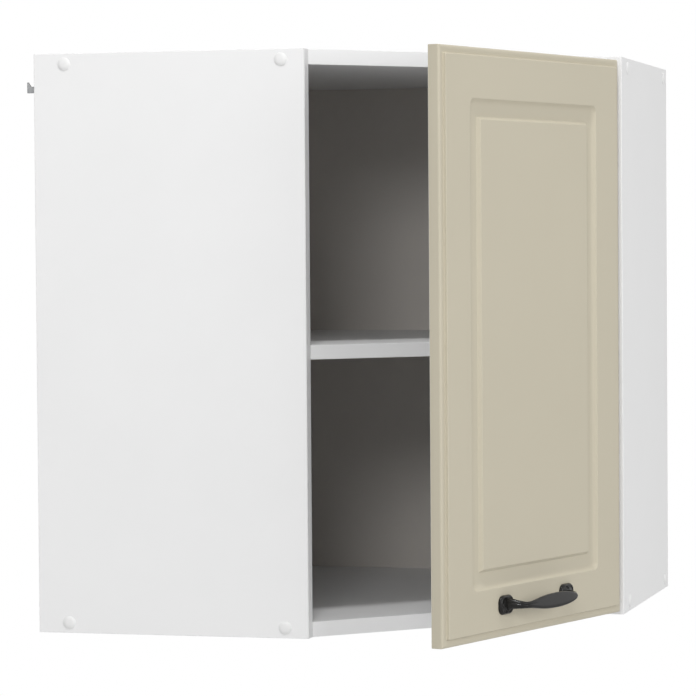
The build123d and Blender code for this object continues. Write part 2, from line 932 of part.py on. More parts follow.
def build():
    """All pieces by name, each a list of solids in the cabinet's frame."""
    still = Pos(0, 0, 0)
    open_pose = door_pose(door_open_angle)
    hinge_levels = {"lower": lower_hinge_z, "upper": upper_hinge_z}

    left_screws = left_screw_bodies()
    right_screws = right_screw_bodies()
    nails = left_nails()
    right_nails = [flip(one) for one in nails]
    pins = left_shelf_pins()
    right_pins = [flip(one) for one in pins]
    hanger_fixings = hanger_screws()
    plate_fixings = []
    for level in hinge_levels.values():
        plate_fixings += placed(still, at_height(plate_screws(), level))

    parts = {}
    left_wells = screw_wells(left_screw_places())
    right_wells = screw_wells(right_screw_places())
    parts["left_side_panel"] = side_panel(left_screws, left_wells, nails, pins, hanger_fixings)
    flipped_back = [flip(one) for one in right_screws + plate_fixings]
    right_panel = side_panel(flipped_back, right_wells, nails, pins, hanger_fixings)
    parts["right_side_panel"] = flip(right_panel)
    deck_holes = left_screws + right_screws + nails + right_nails
    parts["bottom_panel"] = deck(board, 0, 0, 0) - deck_holes
    parts["top_panel"] = deck(board, cabinet_height - board, 0, 0) - deck_holes
    shelf = deck(shelf_thickness, shelf_bottom, shelf_side_gap, shelf_setback)
    parts["shelf"] = shelf - nails - right_nails
    parts["left_back_panel"] = back_blank(back_thickness) - hook_notch() - nails
    parts["right_back_panel"] = flip(back_blank(0) - hook_notch() - nails)
    parts["left_panel_screws"] = with_sockets(left_screws, left_screw_places(), False)
    parts["right_panel_screws"] = with_sockets(right_screws, right_screw_places(), True)
    caps = [place * screw_cap() for place in left_screw_places()]
    parts["left_screw_caps"] = caps
    caps = [place * screw_cap() for place in right_screw_places()]
    parts["right_screw_caps"] = [flip(cap) for cap in caps]
    parts["left_back_nails"] = nails
    parts["right_back_nails"] = right_nails
    parts["left_shelf_pins"] = pins
    parts["right_shelf_pins"] = right_pins
    parts["left_hanger_housing"] = hanger_housing()
    parts["left_hanger_hook"] = hook()
    parts["left_hanger_screws"] = hanger_screws()
    parts["left_hanger_adjusters"] = adjusters()
    for piece in ("housing", "hook", "screws", "adjusters"):
        twin = as_list(parts["left_hanger_" + piece])
        parts["right_hanger_" + piece] = [flip(one) for one in twin]

    door = door_board() - handle_screws()
    for level in hinge_levels.values():
        door -= at_height([cup_bore()] + cup_screws(), level)
    parts["door_panel"] = placed(open_pose, door)
    parts["door_bumpers"] = placed(open_pose, bumpers())
    parts["handle"] = placed(open_pose, handle())
    parts["handle_screws"] = placed(open_pose, handle_screws())
    for name, level in hinge_levels.items():
        moving = {
            "hinge_cup": (hinge_cup(), open_pose),
            "hinge_cup_pins": (cup_pins(), open_pose),
            "hinge_cup_screws": (cup_screws(), open_pose),
            "hinge_long_links": (long_links(), long_link_pose(door_open_angle)),
            "hinge_short_link": (short_link(), short_link_pose(door_open_angle)),
            "hinge_arm": (hinge_arm(), still),
            "hinge_arm_pins": (arm_pins(), still),
            "hinge_arm_screws": (arm_screws(), still),
            "hinge_plate": (mounting_plate(), still),
            "hinge_plate_screws": (plate_screws(), still),
        }
        for piece, (shapes, pose) in moving.items():
            parts[name + "_" + piece] = placed(pose, at_height(shapes, level))
    return parts


def solids_of(shapes):
    found = []
    for shape in as_list(shapes):
        found += shape.solids()
    return found


def print_axes():
    """Print where the hinges' upright axes stand in the cabinet's frame, at rest."""
    axes = {
        "arm rear pivot": Pos(arm_rear_pivot[0], arm_rear_pivot[1], 0),
        "arm front pivot": Pos(arm_front_pivot[0], arm_front_pivot[1], 0),
        "cup upper pivot": door_pose(door_open_angle)
        * Pos(cup_upper_pivot[0], cup_upper_pivot[1], 0),
    }
    for name, place in axes.items():
        spot = (door_frame * place).position
        print(name, round(spot.X, 4), round(spot.Y, 4))


os.makedirs("parts", exist_ok=True)
for node, shapes in build().items():
    export_step(Compound(children=solids_of(shapes)), "parts/" + node + ".step")
print_axes()
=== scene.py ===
"""Looks of the corner wall cabinet: boards, framed door, cast handle, fittings, light and camera.

Metres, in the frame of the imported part. Sizes in millimetres are written with MM.
"""

import json
import math

import bmesh
import bpy
import numpy as np
from mathutils import Matrix, Vector
from mathutils.geometry import delaunay_2d_cdt

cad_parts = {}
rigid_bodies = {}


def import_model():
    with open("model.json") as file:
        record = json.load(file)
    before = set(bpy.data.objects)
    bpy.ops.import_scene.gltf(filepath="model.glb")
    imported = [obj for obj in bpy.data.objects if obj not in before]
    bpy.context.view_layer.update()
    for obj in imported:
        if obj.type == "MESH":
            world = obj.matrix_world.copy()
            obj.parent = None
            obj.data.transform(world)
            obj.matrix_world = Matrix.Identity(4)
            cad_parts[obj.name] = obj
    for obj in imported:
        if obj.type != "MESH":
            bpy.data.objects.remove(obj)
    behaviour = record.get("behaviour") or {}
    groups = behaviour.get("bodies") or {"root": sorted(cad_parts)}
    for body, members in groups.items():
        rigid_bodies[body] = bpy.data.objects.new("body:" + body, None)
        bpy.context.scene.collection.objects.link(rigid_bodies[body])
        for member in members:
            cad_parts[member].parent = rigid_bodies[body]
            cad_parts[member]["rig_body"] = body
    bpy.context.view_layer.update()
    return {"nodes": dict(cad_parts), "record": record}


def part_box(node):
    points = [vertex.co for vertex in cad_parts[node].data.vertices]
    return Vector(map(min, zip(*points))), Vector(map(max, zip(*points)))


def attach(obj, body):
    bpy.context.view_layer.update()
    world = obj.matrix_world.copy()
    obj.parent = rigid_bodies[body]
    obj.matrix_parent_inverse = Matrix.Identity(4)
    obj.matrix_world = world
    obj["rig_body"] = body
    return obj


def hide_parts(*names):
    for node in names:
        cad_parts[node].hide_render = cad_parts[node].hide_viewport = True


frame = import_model()

MM = 0.001

# Camera, as the photograph was taken
camera_azimuth = 15.03  # degrees; 0 looks along +Y
camera_elevation = 1.91
camera_roll = 0.42
camera_distance = 3.638
camera_aim = (0.2666, -0.2968, 0.2936)
camera_lens = 167.15
camera_sensor = 36.0
camera_far_end = 100.0

# Light
world_light = 0.455  # what the white room gives from every side
front_box_place = (0.92, -4.55, 1.62)  # above and behind the camera, to its left
front_box_size = 0.8
front_box_power = 29.0
left_box_place = (-2.1, -4.1, 1.9)  # soft box on the left
left_box_size = 1.2
left_box_power = 17.0
side_box_place = (3.95, -2.2, 1.11)  # large soft box on the right
side_box_size = 2.0
side_box_power = 52.0
top_box_place = (0.64, -1.74, 3.24)  # small soft box high up in front
top_box_size = 0.4
top_box_power = 38.0
floor_depth = -1.45  # the floor of the room, below a hung cabinet
floor_size = 14.0
floor_lift = 0.35  # how much paler the floor shows to the eye than it is lit

# Boards
edge_band = 0.8 * MM  # thickness of the band glued to the edges
board_corner = 0.9 * MM  # rounding of a board's upright edges
board_end = 0.5 * MM  # rounding of its ends
back_step = 3.0 * MM  # rebate that takes the back panel
back_middle = 1.5 * MM  # from the wall to the middle of the back panel's thickness
raw_depth = 0.1 * MM  # how deep a raw edge shows
seam_core = 0.04 * MM  # the seam at an edge band is dark up to here
seam_reach = 0.16 * MM  # and has faded from here on
hold = 0.15 * MM  # flat strip beside a rounding, which keeps the flat face's shading flat

# Door: rings from the back edge round to the raised field
door_turn = 27.1  # degrees open, as the part is drawn
back_corner = 0.6 * MM  # rounding of the back edge, and corner radius of the skirt
skirt_edge = 2.4 * MM  # rounding of the skirt's front edge
ledge = 8.3 * MM  # width of the ledge round the face
ledge_drop = 2.7 * MM  # how far the ledge lies behind the face
step_edge = 0.9 * MM  # rounding where the step meets the face
step_corner = 1.0 * MM  # corner radius of the step
stile = 55.0 * MM  # from the door's sides to the groove
rail = 51.6 * MM  # and from its ends
white_depth = 0.3 * MM  # how far the white of the back reaches round the edge
cup_inset = 21.0 * MM  # cup bore's centre from the hinge edge
cup_height = 95.0 * MM  # and from the door's ends
cup_radius = 17.5 * MM
cup_depth = 12.5 * MM

# Handle, in the door's frame
handle_height = 33.5 * MM
neck_foot = 257.5 * MM
leaf_foot = 129.5 * MM
boss_half = (13.4 * MM, 10.0 * MM)  # half its width along the door and half its height
boss_corner = 7.6 * MM
bead_reach = (9.0 * MM, 6.2 * MM)  # along the door and up it
bead_radius = 2.0 * MM
bead_base = 2.9 * MM  # a bead's centre, out from the door's face
bead_root = 1.5 * MM  # how far it goes on below that
leaf_crown = 192.0 * MM  # where the leaf is widest
leaf_length = 46.0 * MM  # from there to its tip
leaf_half_height = 7.9 * MM
leaf_half_thickness = 2.0 * MM
grip_middle = 40.0 * MM  # middle of the grip's thickness, out from the door's back
blend_height = 38.0 * MM  # out from the door's back, where the neck's section turns into the leaf's
blend_rise = 2.0 * MM  # over this much further out
blend_start = 12.0 * MM  # the same along the door, from the neck's foot
blend_length = 26.0 * MM
neck_squareness = 1.7  # exponent of the neck's section
leaf_gain = 2.6  # how much greater the leaf's is
post_squareness = 2.4
furrow_depth = 0.7 * MM
furrow_place = 0.2  # above the middle, as a share of half the height
furrow_width = 0.16  # also as a share of it

# Small fittings
fastener_gap = 2.0 * MM  # the fasteners of one node are further apart than this
cap_radius = 7.0 * MM
cap_height = 1.8 * MM  # above the board
cap_rim = 0.45 * MM  # height at which the dome starts
cap_foot = 0.1 * MM  # small bevel at the board
cap_plug = 1.0 * MM  # how deep the cap goes into the board
recess_share = 0.55  # reach of a screw's cross recess, as a share of its head's radius
recess_arm = 0.26  # half width of its arms, as a share of that reach
recess_wall = 0.35  # width of its sloping walls, as a share of that half width
recess_depth = 1.2 * MM
recess_part = 0.8  # the recess takes no more than this share of the head's height
head_edge = 0.55  # height of the head where its dome starts, as a share of the head's height
head_crown = 0.45  # what the dome adds
hanger_screw = (2.0 * MM, 2.0 * MM)  # height of the head and radius of the shank
handle_screw = (2.4 * MM, 2.0 * MM)
hinge_screw = (1.4 * MM, 1.75 * MM)
hook_arm = 7.0 * MM  # height of the hook's arm
hook_valley = 6.6 * MM  # from the hook's end to the rear of its valley
hook_tooth_root = 4.6 * MM
hook_tooth_tip = 1.3 * MM
hook_valley_depth = 0.4 * MM
hook_corner = 0.5 * MM
hook_edge = 0.3 * MM


# Mesh tools


def rounded_outline(corners, radii, inset=0.0, steps=6):
    """Outline of a polygon with an arc at each corner, moved inwards by an inset.

    An arc's centre lies on the corner's bisector, and the arc turns from one side's normal to
    the next side's. A hold point stands on each side of the arc.
    """
    corners = np.asarray(corners, float)
    radii = np.broadcast_to(np.asarray(radii, float), len(corners))
    run = np.roll(corners, -1, axis=0) - corners
    run /= np.linalg.norm(run, axis=1, keepdims=True)
    before = np.roll(run, 1, axis=0)
    normal_before = np.stack([-before[:, 1], before[:, 0]], axis=1)
    normal_after = np.stack([-run[:, 1], run[:, 0]], axis=1)
    cross = before[:, 0] * run[:, 1] - before[:, 1] * run[:, 0]
    dot = (before * run).sum(axis=1)
    side = np.sign(cross)
    spread = (normal_before + normal_after) / (1 + dot)[:, None]
    centres = corners + (side * radii)[:, None] * spread
    turn = np.arctan2(cross, dot)[:, None] * np.linspace(0, 1, steps + 1)
    heading = np.arctan2(normal_before[:, 1], normal_before[:, 0])[:, None] + turn
    arm = (side * radii - inset)[:, None, None]
    arcs = centres[:, None] - arm * np.stack([np.cos(heading), np.sin(heading)], axis=2)
    first = arcs[:, :1] - before[:, None] * hold
    last = arcs[:, -1:] + run[:, None] * hold
    return np.concatenate([first, arcs, last], axis=1).reshape(-1, 2)


def end_rounding(radius, steps=4):
    """Pairs (inset, height) round the edge at one end of a slab, from its flat face upwards."""
    turn = np.linspace(0, math.pi / 2, steps + 1)
    arc = np.stack([radius * (1 - np.sin(turn)), radius * (1 - np.cos(turn))], axis=1)
    return np.concatenate([[[radius + hold, 0]], arc, [[0, radius + hold]]])


def slab_rings(corners, radii, low, high, end_radius):
    """Rings (x, y, z) of an upright slab on an outline, rounded at both ends."""
    start = end_rounding(end_radius)
    finish = start[::-1] * [1, -1]
    levels = [(inset, low + rise) for inset, rise in start]
    levels += [(inset, high + rise) for inset, rise in finish]
    outlines = [rounded_outline(corners, radii, inset) for inset, level in levels]
    heights = [np.full((len(outlines[0]), 1), level) for inset, level in levels]
    return np.stack([np.hstack([flat, up]) for flat, up in zip(outlines, heights)])


def circle_rings(profile, count=48):
    """Rings of a turned shape from (radius, height) pairs: radius (cos u, sin u), height."""
    turn = np.linspace(0, 2 * math.pi, count, endpoint=False)
    profile = np.asarray(profile, float)
    ring = np.stack([np.cos(turn), np.sin(turn), np.zeros(count)], axis=1)
    rise = profile[:, 1, None, None] * np.array([0, 0, 1.0])
    return profile[:, 0, None, None] * ring + rise


def shell(rings, close_first=True):
    """Points and faces of rings joined in turn. A flat face closes the last and maybe the first."""
    count, points = rings.shape[:2]
    index = np.arange(count * points).reshape(count, points)
    onward = np.roll(index, -1, axis=1)
    quads = np.stack([index[:-1], onward[:-1], onward[1:], index[1:]], axis=2).reshape(-1, 4)
    faces = quads.tolist()
    if close_first:
        faces.append(index[0, ::-1].tolist())
    faces.append(index[-1].tolist())
    return rings.reshape(-1, 3), faces


def piece(name, shells, material, smooth_below=38.0):
    """Mesh object made of shells, welded where they meet, smooth across its shallow edges."""
    points, faces, start = [], [], 0
    for some_points, some_faces in shells:
        points.append(some_points)
        faces += [[start + corner for corner in face] for face in some_faces]
        start += len(some_points)
    mesh = bpy.data.meshes.new(name)
    mesh.from_pydata(np.concatenate(points), [], faces)
    work = bmesh.new()
    work.from_mesh(mesh)
    bmesh.ops.remove_doubles(work, verts=work.verts, dist=0.002 * MM)
    work.to_mesh(mesh)
    work.free()
    mesh.polygons.foreach_set("use_smooth", np.ones(len(mesh.polygons), bool))
    mesh.set_sharp_from_angle(angle=math.radians(smooth_below))
    mesh.materials.append(material)
    made = bpy.data.objects.new(name, mesh)
    bpy.context.scene.collection.objects.link(made)
    return made


def dress(material, *names):
    """Give CAD nodes their finish."""
    for name in names:
        for slot in frame["nodes"][name].material_slots:
            slot.material = material


def stand_in(made, *nodes):
    """The piece shows in place of the CAD nodes: it rides on their body and takes their slot."""
    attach(made, frame["nodes"][nodes[0]]["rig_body"])
    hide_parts(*nodes)
    dress(made.data.materials[0], *nodes)


def node_points(name):
    """The points of a CAD node."""
    mesh = frame["nodes"][name].data
    points = np.zeros(len(mesh.vertices) * 3)
    mesh.vertices.foreach_get("co", points)
    return points.reshape(-1, 3)


def axes_along(axis):
    """Three directions, as rows: two across an axis, and the axis itself."""
    axis = np.asarray(axis, float)
    across = np.cross([0, 0, 1.0], axis)
    across = across / np.linalg.norm(across)
    return np.stack([across, np.cross(axis, across), axis])


def fastener_places(name, axis):
    """Middle, lowest and highest place along an axis, and radius, of each fastener of a node."""
    turned = node_points(name) @ axes_along(axis).T
    groups = [turned]
    for part in (0, 1, 0, 1):
        groups = [half for group in groups for half in split(group, part)]
    places = []
    for group in groups:
        low, high = group.min(axis=0), group.max(axis=0)
        middle = (low + high) / 2
        places.append((middle[:2], low[2], high[2], (high[0] - low[0]) / 2))
    return places


def split(points, part):
    """The points in two groups, where they leave a wide enough gap along one direction."""
    order = points[points[:, part].argsort()]
    steps = np.diff(order[:, part])
    if steps.max() < fastener_gap:
        return [points]
    cut = steps.argmax() + 1
    return [order[:cut], order[cut:]]


# Shader tools


class Socket:
    """An output of a material's node tree. The arithmetic operators add Math nodes."""

    def __init__(self, tree, socket):
        self.tree = tree
        self.socket = socket

    def math(self, operation, *values):
        """A Math node on this output and more values."""
        sockets = dict(enumerate((self,) + values))
        return node(self.tree, "ShaderNodeMath", {"operation": operation}, sockets)

    def flipped(self, operation, value):
        """A Math node whose first value is a number and whose second is this output."""
        return node(self.tree, "ShaderNodeMath", {"operation": operation}, {0: value, 1: self})

    def __add__(self, other):
        return self.math("ADD", other)

    def __sub__(self, other):
        return self.math("SUBTRACT", other)

    def __mul__(self, other):
        return self.math("MULTIPLY", other)

    def __lt__(self, other):
        return self.math("LESS_THAN", other)

    def __gt__(self, other):
        return self.math("GREATER_THAN", other)

    def __abs__(self):
        return self.math("ABSOLUTE")

    __radd__ = __add__
    __rmul__ = __mul__

    def __rsub__(self, other):
        return self.flipped("SUBTRACT", other)

    def ramp(self, low, high):
        """0 below low and 1 above high, with a smooth step between."""
        settings = {"interpolation_type": "SMOOTHSTEP"}
        sockets = {0: self, 1: low, 2: high, 3: 0.0, 4: 1.0}
        return node(self.tree, "ShaderNodeMapRange", settings, sockets)


def node(tree, kind, settings=None, sockets=None, output=0):
    """Add a node: its settings first, then the values or links of its sockets."""
    made = tree.nodes.new(kind)
    for name, value in (settings or {}).items():
        setattr(made, name, value)
    for name, value in (sockets or {}).items():
        if isinstance(value, Socket):
            tree.links.new(value.socket, made.inputs[name])
        else:
            made.inputs[name].default_value = value
    return Socket(tree, made.outputs[output])


def linear(red, green, blue):
    """A colour as it shows on a screen, 0 to 255, as the renderer's linear values."""
    shown = [part / 255 for part in (red, green, blue)]
    values = [part / 12.92 if part < 0.04045 else ((part + 0.055) / 1.055) ** 2.4 for part in shown]
    return (*values, 1.0)


class Finish:
    """A material with a Principled shader, and the textures that the finishes share."""

    def __init__(self, name):
        self.material = bpy.data.materials.new(name)
        self.material.use_nodes = True
        self.tree = self.material.node_tree
        self.shader = self.tree.nodes["Principled BSDF"]
        self.place = node(self.tree, "ShaderNodeTexCoord", output="Object")

    def axes(self, vector=None):
        """The X, Y and Z parts of a vector, or of the place on the piece."""
        split_node = node(self.tree, "ShaderNodeSeparateXYZ", {}, {0: vector or self.place})
        outputs = split_node.socket.node.outputs
        return [Socket(self.tree, outputs[part]) for part in range(3)]

    def noise(self, size, detail=3.0, roughness=0.5):
        """Noise of about 0 to 1 whose blotches are as large as size, in metres."""
        sockets = {"Vector": self.place, "Scale": 1 / size, "Detail": detail}
        sockets["Roughness"] = roughness
        return node(self.tree, "ShaderNodeTexNoise", {}, sockets, "Fac")

    def cells(self, size):
        """A random colour for each of many cells that are as large as size."""
        sockets = {"Vector": self.place, "Scale": 1 / size}
        return node(self.tree, "ShaderNodeTexVoronoi", {}, sockets, "Color")

    def mix(self, share, low, high):
        """Mix two colours by a share from 0 to 1."""
        sockets = {0: share, 6: low, 7: high}
        return node(self.tree, "ShaderNodeMix", {"data_type": "RGBA"}, sockets, 2)

    def bump(self, height, depth):
        """Normal of a surface whose height goes from 0 to 1 over a depth in metres."""
        return node(self.tree, "ShaderNodeBump", {}, {"Height": height, "Distance": depth})

    def done(self, **values):
        """Set the shader's sockets, named with underscores for spaces, and give the material."""
        for name, value in values.items():
            socket = self.shader.inputs[name.replace("_", " ")]
            if isinstance(value, Socket):
                self.tree.links.new(value.socket, socket)
            else:
                socket.default_value = value
        return self.material


# Finishes


def white_board(name, raw_edge, seam_distance):
    """White melamine on chipboard: raw chips on the rear edge and a fine seam at the edge band."""
    finish = Finish(name)
    blotches = finish.noise(90 * MM)
    pearl = finish.noise(0.7 * MM, detail=2.0)
    white = finish.mix(blotches, linear(233, 233, 233), linear(237, 237, 237))
    seam = 1 - abs(seam_distance(finish)).ramp(seam_core, seam_reach)
    white = finish.mix(seam, white, linear(200, 198, 194))
    raw = raw_edge(finish)
    chip_tone = finish.axes(finish.cells(1.6 * MM))[0]
    brown = finish.mix(chip_tone, linear(150, 118, 84), linear(206, 177, 138))
    grain = finish.noise(0.9 * MM)
    brown = finish.mix(grain.ramp(0.55, 0.75), brown, linear(112, 84, 58))
    colour = finish.mix(raw, white, brown)
    rough = 0.40 + blotches * 0.06 + raw * 0.45
    height = pearl * (1 - raw) * 0.15 + chip_tone * raw - seam * 0.5
    normal = finish.bump(height, 0.06 * MM)
    return finish.done(Base_Color=colour, Roughness=rough, Normal=normal)


def no_raw_edge(finish):
    """0 everywhere, since nothing of a board lies a metre below the cabinet."""
    return finish.axes()[2] < -1.0


def left_rear_edge(finish):
    """1 on the left panel's rear edge, which lies in the wall plane x = 0."""
    return finish.axes()[0] < raw_depth


def right_rear_edge(finish):
    """1 on the right panel's rear edge, which lies in the wall plane y = 0."""
    return finish.axes()[1] > -raw_depth


def left_band(finish):
    """Distance from the seam of the band on the left panel's front edge."""
    return finish.axes()[0] - (side_depth - edge_band)


def right_band(finish):
    """Distance from the seam of the band on the right panel's front edge."""
    return finish.axes()[1] + (side_depth - edge_band)


def deck_band(finish):
    """Distance from the seam along the 45 degree front of the top and the bottom."""
    x, y = finish.axes()[:2]
    return (x - y) - (deck_reach - edge_band * math.sqrt(2))


def shelf_band(finish):
    """Distance from the seam along the 45 degree front of the shelf."""
    x, y = finish.axes()[:2]
    return (x - y) - (shelf_reach - edge_band * math.sqrt(2))


def back_board(name, outside):
    """Hardboard: inside the cabinet a grey below the boards' white that paints the interior's
    shade, raw brown fibre against the wall.
    """
    finish = Finish(name)
    raw = outside(finish)
    clouds = finish.noise(120 * MM)
    fibre = finish.noise(1.2 * MM, detail=5.0)
    flecks = finish.noise(4 * MM, detail=4.0, roughness=0.7)
    # painted shade: the inner face's grey is darker than the white boards and stands in for the
    # shade inside the cabinet
    painted_shade_grey = finish.mix(clouds, linear(205, 200, 194), linear(212, 207, 201))
    brown = finish.mix(fibre, linear(116, 84, 55), linear(150, 114, 78))
    brown = finish.mix(flecks.ramp(0.56, 0.72), brown, linear(88, 62, 40))
    colour = finish.mix(raw, painted_shade_grey, brown)
    normal = finish.bump(fibre * (0.2 + raw * 0.8), 0.08 * MM)
    return finish.done(Base_Color=colour, Roughness=0.45 + raw * 0.4, Normal=normal)


def outside_of_left(finish):
    """1 on the half of the left back panel's thickness that is next to the wall."""
    return finish.axes()[0] < back_middle


def outside_of_right(finish):
    """1 on the half of the right back panel's thickness that is next to the wall."""
    return finish.axes()[1] > -back_middle


def door_foil():
    """Cream foil, pressed over milled fibreboard, with a white back."""
    finish = Finish("cream_foil")
    x, y = finish.axes()[:2]
    outwards_x, outwards_y = door_axes[1, :2].tolist()
    depth = x * outwards_x + y * outwards_y - door_back
    back = depth < white_depth
    clouds = finish.noise(150 * MM)
    peel = finish.noise(1.1 * MM, detail=2.0)
    cream = finish.mix(clouds, linear(194, 187, 168), linear(198, 191, 172))
    colour = finish.mix(back, cream, linear(232, 232, 231))
    rough = 0.5 + clouds * 0.06
    normal = finish.bump(peel, 0.02 * MM)
    return finish.done(
        Base_Color=colour, Roughness=rough, Specular_IOR_Level=0.22, Normal=normal
    )


def white_plastic():
    """Moulded plastic, satin, with a faint spark-eroded grain."""
    finish = Finish("white_plastic")
    clouds = finish.noise(20 * MM)
    grain = finish.noise(0.3 * MM)
    colour = finish.mix(clouds, linear(229, 229, 229), linear(234, 234, 233))
    rough = 0.3 + clouds * 0.08
    normal = finish.bump(grain, 0.01 * MM)
    return finish.done(Base_Color=colour, Roughness=rough, Normal=normal)


def soft_plastic():
    """Clear soft stop: milky, with a slight haze."""
    finish = Finish("soft_plastic")
    clouds = finish.noise(4 * MM)
    colour = finish.mix(clouds, linear(214, 214, 208), linear(226, 226, 222))
    return finish.done(Base_Color=colour, Roughness=0.25 + clouds * 0.1, Subsurface_Weight=0.2)


def plated(name, light, dark, rough, grain_size):
    """Plated steel: a faint grain in its gloss and small blotches in its tone."""
    finish = Finish(name)
    blotches = finish.noise(6 * MM, detail=4.0)
    grain = finish.noise(grain_size, detail=2.0)
    colour = finish.mix(blotches, dark, light)
    normal = finish.bump(grain, 0.015 * MM)
    roughness = rough + grain * 0.12
    return finish.done(Base_Color=colour, Metallic=1.0, Roughness=roughness, Normal=normal)


def handle_metal():
    """Cast zinc under a black lacquer: satin, with faint blotches."""
    finish = Finish("black_lacquer")
    blotches = finish.noise(12 * MM, detail=4.0)
    grain = finish.noise(0.4 * MM)
    colour = finish.mix(blotches, linear(22, 21, 20), linear(29, 28, 27))
    rough = 0.20 + blotches * 0.08
    normal = finish.bump(grain, 0.008 * MM)
    return finish.done(
        Base_Color=colour, Roughness=rough, Specular_IOR_Level=0.27, Normal=normal
    )


# Sizes read from the frame

panel_low, panel_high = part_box("left_side_panel")
side_depth = panel_high.x
panel_width = -panel_low.y
panel_inner = -panel_high.y
cabinet_height = panel_high.z
back_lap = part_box("left_back_panel")[0].y + panel_inner
deck_low, deck_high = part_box("top_panel")
deck_rear = deck_low.x
deck_side = -deck_low.y
board = deck_high.z - deck_low.z
deck_reach = side_depth + deck_side
shelf_low, shelf_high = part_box("shelf")
shelf_points = node_points("shelf")
shelf_reach = (shelf_points[:, 0] - shelf_points[:, 1]).max()

door_angle = math.radians(225 + door_turn)
door_axes = np.array(
    [
        [math.cos(door_angle), math.sin(door_angle), 0],
        [-math.sin(door_angle), math.cos(door_angle), 0],
        [0, 0, 1],
    ]
)
door_points = node_points("door_panel") @ door_axes.T
door_corner = door_points.min(axis=0)
door_width, door_thickness, door_height = door_points.max(axis=0) - door_corner
door_back = door_corner[1]


def on_door(points):
    """Points (along the door from its hinge edge, outwards, up) in the frame of the cabinet."""
    return (np.asarray(points) + door_corner) @ door_axes


# Boards


def mirrored(corners):
    """An outline's twin in the plane x = -y, still counter-clockwise."""
    return [(-y, -x) for x, y in corners[::-1]]


def make_boards():
    """The white boards, with banded edges a little rounded."""
    left = [
        (0, -panel_width),
        (side_depth, -panel_width),
        (side_depth, -panel_inner),
        (back_step, -panel_inner),
        (back_step, -panel_inner + back_lap),
        (0, -panel_inner + back_lap),
    ]
    finish = white_board("melamine_left", left_rear_edge, left_band)
    make_board("left_side_panel", left, 0, cabinet_height, finish)
    finish = white_board("melamine_right", right_rear_edge, right_band)
    make_board("right_side_panel", mirrored(left), 0, cabinet_height, finish)
    deck = five_sided(deck_rear, deck_side, deck_reach)
    finish = white_board("melamine_deck", no_raw_edge, deck_band)
    make_board("bottom_panel", deck, 0, board, finish)
    make_board("top_panel", deck, cabinet_height - board, cabinet_height, finish)
    shelf = five_sided(shelf_low.x, -shelf_low.y, shelf_reach)
    finish = white_board("melamine_shelf", no_raw_edge, shelf_band)
    make_board("shelf", shelf, shelf_low.z, shelf_high.z, finish)


def five_sided(rear, side, reach):
    """Outline between the walls and the sides, whose front is the line x - y = reach."""
    front = reach - side
    return [(rear, -side), (front, -side), (side, -front), (side, -rear), (rear, -rear)]


def make_board(name, outline, low, high, finish):
    """An upright slab on an outline, in place of a CAD board."""
    rings = slab_rings(outline, board_corner, low, high, board_end)
    stand_in(piece(name + "_board", [shell(rings)], finish), name)


# Door


def door_rings():
    """Rings of the door's skin, from its back edge to the field in the middle.

    A ring is a rounded rectangle: how far it lies in from the door's sides and from its ends,
    how far it stands out from the door's back, and the radius of its corners.
    """
    outer = [(inset, inset, depth, radius) for inset, depth, radius in edge_rows()]
    return np.stack([door_ring(*row) for row in outer + groove_rows()])


def edge_rows():
    """Rows (inset, depth, corner radius) of the skirt, the ledge and the step up to the face.

    Both rounded edges are quarter circles. The ledge sinks a little towards the step, and the
    step is hollow at its foot.
    """
    skirt = door_thickness - ledge_drop
    face = door_thickness
    rows = [(back_corner, 0, back_corner), (0.1 * MM, 0.1 * MM, back_corner)]
    rows += [(0, back_corner, back_corner), (0, skirt - skirt_edge - hold, back_corner)]
    for turn in np.linspace(0, math.pi / 2 - 0.1, 7):
        inset = skirt_edge * (1 - math.cos(turn))
        depth = skirt - skirt_edge * (1 - math.sin(turn))
        rows.append((inset, depth, back_corner + inset / 3))
    rows += [
        (0.55 * ledge, skirt - 0.25 * MM, 1.2 * MM),
        (0.82 * ledge, skirt - 0.65 * MM, 1.2 * MM),
        (0.95 * ledge, skirt - 0.55 * MM, step_corner),
        (1.00 * ledge, skirt + 0.10 * MM, step_corner),
        (1.01 * ledge, face - step_edge, step_corner),
    ]
    for turn in np.linspace(0.2, math.pi / 2, 5):
        inset = 1.01 * ledge + step_edge * (1 - math.cos(turn))
        rows.append((inset, face - step_edge * (1 - math.sin(turn)), step_corner))
    rows.append((1.01 * ledge + step_edge + hold, face, step_corner))
    return rows


def groove_rows():
    """Rows of the groove: soft edge, hollow outer wall, flat floor, bevelled edge of the field.

    The list gives, in millimetres, how far a ring lies inside the groove's outer edge, how far
    it lies out from the face, and the radius of its corners.
    """
    profile = [
        (-hold / MM, 0, 8.0),
        (0, 0, 8.0),
        (0.45, -0.08, 7.7),
        (0.95, -0.42, 7.3),
        (1.5, -1.05, 6.9),
        (2.2, -1.8, 6.2),
        (3.2, -2.6, 5.3),
        (4.4, -3.3, 4.2),
        (5.8, -3.8, 2.9),
        (7.2, -3.98, 1.9),
        (8.2, -4.0, 1.5),
        (17.4, -4.0, 0.9),
        (18.2, -4.0, 0.8),
        (18.6, -3.9, 0.7),
        (19.0, -3.55, 0.7),
        (21.3, -0.5, 0.7),
        (21.7, -0.12, 0.7),
        (22.1, 0, 0.7),
        (22.3, 0, 0.7),
    ]
    return [
        (stile + step * MM, rail + step * MM, door_thickness + depth * MM, radius * MM)
        for step, depth, radius in profile
    ]


def door_ring(side_inset, end_inset, depth, radius):
    """One ring of the door, as points in the door's own frame."""
    left, right = side_inset, door_width - side_inset
    low, high = end_inset, door_height - end_inset
    corners = [(left, low), (left, high), (right, high), (right, low)]
    flat = rounded_outline([(up, along) for along, up in corners], radius)
    return np.stack([flat[:, 1], np.full(len(flat), depth), flat[:, 0]], axis=1)


